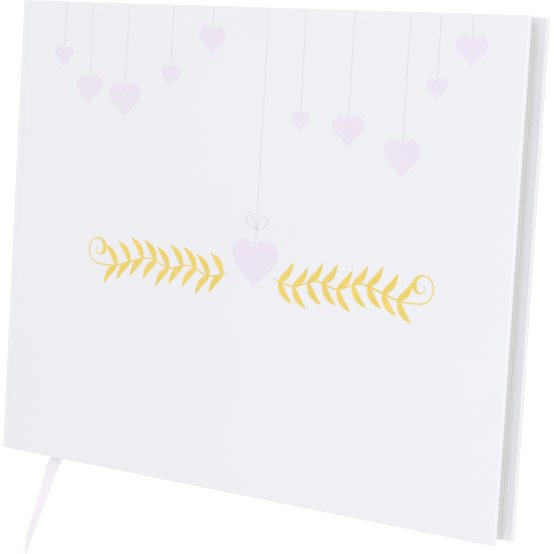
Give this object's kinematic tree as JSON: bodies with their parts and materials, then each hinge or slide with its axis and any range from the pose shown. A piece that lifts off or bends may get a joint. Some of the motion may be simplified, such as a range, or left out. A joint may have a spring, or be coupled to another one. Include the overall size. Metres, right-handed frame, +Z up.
{
  "type": "wedding guest book",
  "caption": "Landscape hardback guest book: boards wrapped in matt white paper with lilac hearts and gold foil, sewn thick leaves, square spine and a satin ribbon marker.",
  "frame": {"origin": "middle of the outer face of the back cover, which lies on the table", "axes": "+X from the spine to the fore-edge, +Y from the tail to the head, +Z up through the front cover"},
  "size_m": [0.2406, 0.2338, 0.0141],
  "materials": {
    "cover_paper": "matte",
    "gold_foil": "satin",
    "lilac_print": "matte",
    "endpaper": "matte",
    "leaf_paper": "matte",
    "greyboard": "matte",
    "kraft_liner": "matte",
    "mull": "matte",
    "thread": "matte",
    "band_cotton": "matte",
    "ribbon_satin": "satin"
  },
  "bodies": {
    "back_cover": {"back_cover_paper": "cover_paper", "back_board": "greyboard", "back_pastedown": "endpaper", "back_joint_paper": "cover_paper", "back_endpaper_joint": "endpaper", "ribbon_tail": "ribbon_satin"},
    "text_block": {"spine_paper": "cover_paper", "spine_board": "greyboard", "spine_liner": "kraft_liner", "spine_mull": "mull", "sewing_thread": "thread", "headband": "band_cotton", "tailband": "band_cotton", "back_flyleaf": "endpaper", "ribbon_inside": "ribbon_satin", "signature_5_sheet_1": "leaf_paper", "signature_5_sheet_2": "leaf_paper", "signature_5_sheet_3": "leaf_paper", "signature_5_sheet_4": "leaf_paper"},
    "front_cover": {"front_cover_paper": "cover_paper", "front_board": "greyboard", "front_pastedown": "endpaper", "front_joint_paper": "cover_paper", "front_endpaper_joint": "endpaper"},
    "front_flyleaf": {"front_flyleaf": "endpaper"},
    "signature_1": {"signature_1_sheet_1": "leaf_paper", "signature_1_sheet_2": "leaf_paper", "signature_1_sheet_3": "leaf_paper", "signature_1_sheet_4": "leaf_paper"},
    "signature_2": {"signature_2_sheet_1": "leaf_paper", "signature_2_sheet_2": "leaf_paper", "signature_2_sheet_3": "leaf_paper", "signature_2_sheet_4": "leaf_paper"},
    "signature_3": {"signature_3_sheet_1": "leaf_paper", "signature_3_sheet_2": "leaf_paper", "signature_3_sheet_3": "leaf_paper", "signature_3_sheet_4": "leaf_paper"},
    "signature_4": {"signature_4_sheet_1": "leaf_paper", "signature_4_sheet_2": "leaf_paper", "signature_4_sheet_3": "leaf_paper", "signature_4_sheet_4": "leaf_paper"}
  },
  "joints": [
    {"name": "text_block_hinge", "type": "hinge", "parent": "back_cover", "child": "text_block", "pos_m": [-0.1185, 0, 0.0015], "axis": [0, 1, 0], "range_deg": [-90, 0], "deforming": ["back_joint_paper", "back_endpaper_joint", "ribbon_tail"]},
    {"name": "front_cover_hinge", "type": "hinge", "parent": "text_block", "child": "front_cover", "pos_m": [-0.1185, 0, 0.01258], "axis": [0, -1, 0], "range_deg": [0, 182.6], "deforming": ["front_joint_paper", "front_endpaper_joint"]},
    {"name": "front_flyleaf_turn", "type": "hinge", "parent": "text_block", "child": "front_flyleaf", "pos_m": [-0.11666, 0, 0.01184], "axis": [0, -1, 0], "range_deg": [0, 80.5]},
    {"name": "signature_1_turn", "type": "hinge", "parent": "text_block", "child": "signature_1", "pos_m": [-0.11666, 0, 0.01077], "axis": [0, -1, 0], "range_deg": [0, 30.5]},
    {"name": "signature_2_turn", "type": "hinge", "parent": "text_block", "child": "signature_2", "pos_m": [-0.11666, 0, 0.00893], "axis": [0, -1, 0], "range_deg": [0, 22.5]},
    {"name": "signature_3_turn", "type": "hinge", "parent": "text_block", "child": "signature_3", "pos_m": [-0.11666, 0, 0.0071], "axis": [0, -1, 0], "range_deg": [0, 14.5]},
    {"name": "signature_4_turn", "type": "hinge", "parent": "text_block", "child": "signature_4", "pos_m": [-0.11666, 0, 0.00526], "axis": [0, -1, 0], "range_deg": [0, 7.5]}
  ],
  "couplings": [
    {"joint": "front_flyleaf_turn", "follows": "front_cover_hinge", "ratio": 0.43812},
    {"joint": "signature_1_turn", "follows": "front_cover_hinge", "ratio": 0.16429},
    {"joint": "signature_2_turn", "follows": "front_cover_hinge", "ratio": 0.12048},
    {"joint": "signature_3_turn", "follows": "front_cover_hinge", "ratio": 0.07667},
    {"joint": "signature_4_turn", "follows": "front_cover_hinge", "ratio": 0.038335}
  ]
}
